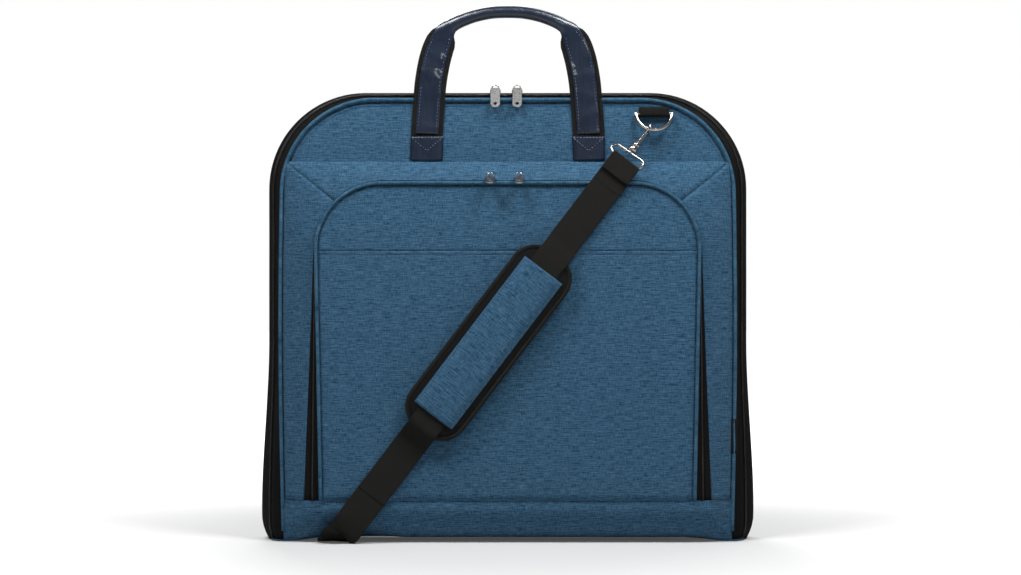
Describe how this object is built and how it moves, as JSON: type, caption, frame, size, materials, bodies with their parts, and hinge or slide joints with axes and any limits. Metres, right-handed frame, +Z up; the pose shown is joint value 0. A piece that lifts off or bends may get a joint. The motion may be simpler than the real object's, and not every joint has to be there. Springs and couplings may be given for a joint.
{
  "type": "garment bag",
  "caption": "Folding suit carrier with two zipped trays, a zipped front pocket, carry handles and a padded shoulder strap that snaps to D-rings.",
  "frame": {"origin": "on the floor under the middle of the bag's box", "axes": "+X to the bag's right seen from the front, +Y to the back, +Z up"},
  "size_m": [0.584, 0.1212, 0.635],
  "materials": {
    "blue_fabric": "heathered woven polyester, slubbed across",
    "blue_piping": "covered cord, same cloth",
    "black_tape": "close woven zip tape",
    "zip_coil": "nylon coil",
    "black_webbing": "ribbed webbing",
    "pad_mesh": "padded cloth",
    "navy_leather": "glossy grained leatherette",
    "nickel": "bright nickel plate",
    "zip_steel": "bright plated zip metal",
    "black_plastic": "moulded acetal",
    "grey_board": "stiffener board",
    "grey_lining": "plain lining",
    "label_cloth": "blank woven label"
  },
  "bodies": {
    "back_half": {"back_gusset": "blue_fabric", "back_zip_tape": "black_tape", "back_zip_coil": "zip_coil", "back_panel": "blue_fabric", "back_piping": "blue_piping", "back_board": "grey_board", "back_lining": "grey_lining", "back_handle_ends": "black_webbing", "back_ring_tab": "black_webbing", "back_strap_loop": "nickel", "strap_rear": "black_webbing", "strap_adjuster": "black_plastic", "hanger_tab": "black_webbing", "garment_straps": "black_webbing", "garment_buckle_socket": "black_plastic", "garment_buckle_clip": "black_plastic"},
    "fold": {"fold_panel": "blue_fabric", "strap_under": "black_webbing"},
    "front_half": {"front_gusset": "black_tape", "front_zip_coil": "zip_coil", "front_panel": "blue_fabric", "front_piping": "blue_piping", "front_board": "grey_board", "front_lining": "grey_lining", "pocket_band": "blue_fabric", "pocket_gusset": "blue_fabric", "pocket_zip_tape": "black_tape", "front_handle_ends": "black_webbing", "front_ring_tab": "black_webbing", "front_strap_loop": "nickel", "strap_end": "black_webbing", "strap_foot": "black_webbing", "side_label": "label_cloth"},
    "pocket_flap": {"flap_zip_tape": "black_tape", "pocket_panel": "blue_fabric", "flap_piping": "blue_piping", "strap_front": "black_webbing", "shoulder_pad": "pad_mesh", "pad_sleeve": "blue_fabric"},
    "front_handle": {"front_handle_webbing": "black_webbing", "front_handle_leather": "navy_leather", "front_handle_grip": "navy_leather"},
    "back_handle": {"back_handle_webbing": "black_webbing", "back_handle_leather": "navy_leather", "back_handle_grip": "navy_leather"},
    "front_ring": {"front_d_ring": "nickel"},
    "back_ring": {"back_d_ring": "nickel"},
    "front_hook": {"front_hook": "nickel"},
    "front_gate": {"front_hook_gate": "nickel"},
    "back_hook": {"back_hook": "nickel"},
    "back_gate": {"back_hook_gate": "nickel"},
    "hanger_hook": {"hanger_hook": "nickel"},
    "main_slider_left": {"main_slider_left": "zip_steel"},
    "main_pull_left": {"main_pull_left": "zip_steel"},
    "pocket_slider_left": {"pocket_slider_left": "zip_steel"},
    "pocket_pull_left": {"pocket_pull_left": "zip_steel"},
    "main_slider_right": {"main_slider_right": "zip_steel"},
    "main_pull_right": {"main_pull_right": "zip_steel"},
    "pocket_slider_right": {"pocket_slider_right": "zip_steel"},
    "pocket_pull_right": {"pocket_pull_right": "zip_steel"}
  },
  "joints": [
    {"name": "fold_hinge", "type": "hinge", "parent": "back_half", "child": "fold", "pos_m": [0, 0.042, 0.0093], "axis": [1, 0, 0], "range_deg": [0, 90]},
    {"name": "front_half_hinge", "type": "hinge", "parent": "fold", "child": "front_half", "pos_m": [0, -0.011, 0.0093], "axis": [1, 0, 0], "range_deg": [0, 90]},
    {"name": "pocket_flap_hinge", "type": "hinge", "parent": "front_half", "child": "pocket_flap", "pos_m": [0, -0.0343, 0.0508], "axis": [1, 0, 0], "range_deg": [0, 10]},
    {"name": "front_handle_hinge", "type": "hinge", "parent": "front_half", "child": "front_handle", "pos_m": [0, -0.0154, 0.524], "axis": [1, 0, 0], "range_deg": [-15, 130]},
    {"name": "back_handle_hinge", "type": "hinge", "parent": "back_half", "child": "back_handle", "pos_m": [0, 0.0483, 0.5255], "axis": [1, 0, 0], "range_deg": [0, 160]},
    {"name": "main_slider_left_slide", "type": "slide", "parent": "front_half", "child": "main_slider_left", "axis": [1, 0, 0], "range_m": [-0.045, 0]},
    {"name": "main_pull_left_hinge", "type": "hinge", "parent": "main_slider_left", "child": "main_pull_left", "pos_m": [-0.0148, -0.0065, 0.5402], "axis": [-1, 0, 0], "range_deg": [0, 120]},
    {"name": "pocket_slider_left_slide", "type": "slide", "parent": "pocket_flap", "child": "pocket_slider_left", "axis": [1, 0, 0], "range_m": [-0.12, 0]},
    {"name": "pocket_pull_left_hinge", "type": "hinge", "parent": "pocket_slider_left", "child": "pocket_pull_left", "pos_m": [-0.0207, -0.0399, 0.433], "axis": [-1, 0, 0], "range_deg": [-30, 55]},
    {"name": "main_slider_right_slide", "type": "slide", "parent": "front_half", "child": "main_slider_right", "axis": [1, 0, 0], "range_m": [0, 0.045]},
    {"name": "main_pull_right_hinge", "type": "hinge", "parent": "main_slider_right", "child": "main_pull_right", "pos_m": [0.0112, -0.0065, 0.5402], "axis": [-1, 0, 0], "range_deg": [0, 120]},
    {"name": "pocket_slider_right_slide", "type": "slide", "parent": "pocket_flap", "child": "pocket_slider_right", "axis": [1, 0, 0], "range_m": [0, 0.055]},
    {"name": "pocket_pull_right_hinge", "type": "hinge", "parent": "pocket_slider_right", "child": "pocket_pull_right", "pos_m": [0.0136, -0.0399, 0.433], "axis": [-1, 0, 0], "range_deg": [-30, 55]},
    {"name": "front_ring_hinge", "type": "hinge", "parent": "front_half", "child": "front_ring", "pos_m": [0.174, -0.017, 0.51], "axis": [1, 0, 0], "range_deg": [-3, 3]},
    {"name": "front_hook_swivel", "type": "hinge", "parent": "front_half", "child": "front_hook", "pos_m": [0.1674, -0.0243, 0.49], "axis": [0.6046, 0.2724, 0.7485], "range_deg": [-8, 8]},
    {"name": "front_gate_hinge", "type": "hinge", "parent": "front_hook", "child": "front_gate", "pos_m": [0.16293, -0.03036, 0.48593], "axis": [-0.7965, 0.2068, 0.5681], "range_deg": [0, 25], "stiffness_Nm_per_rad": 0.01},
    {"name": "back_ring_hinge", "type": "hinge", "parent": "back_half", "child": "back_ring", "pos_m": [-0.174, 0.046, 0.51], "axis": [1, 0, 0], "range_deg": [-3, 3]},
    {"name": "back_hook_swivel", "type": "hinge", "parent": "back_half", "child": "back_hook", "pos_m": [-0.174, 0.0517, 0.4886], "axis": [0.0767, -0.0348, 0.9964], "range_deg": [-8, 8]},
    {"name": "back_gate_hinge", "type": "hinge", "parent": "back_hook", "child": "back_gate", "pos_m": [-0.17457, 0.05625, 0.48138], "axis": [0.9971, 0.0027, -0.0767], "range_deg": [0, 25], "stiffness_Nm_per_rad": 0.01},
    {"name": "hanger_hook_hinge", "type": "hinge", "parent": "back_half", "child": "hanger_hook", "pos_m": [0, 0.0333, 0.462], "axis": [-1, 0, 0], "range_deg": [0, 30]}
  ],
  "couplings": [
    {"joint": "front_half_hinge", "follows": "fold_hinge", "ratio": 1}
  ]
}
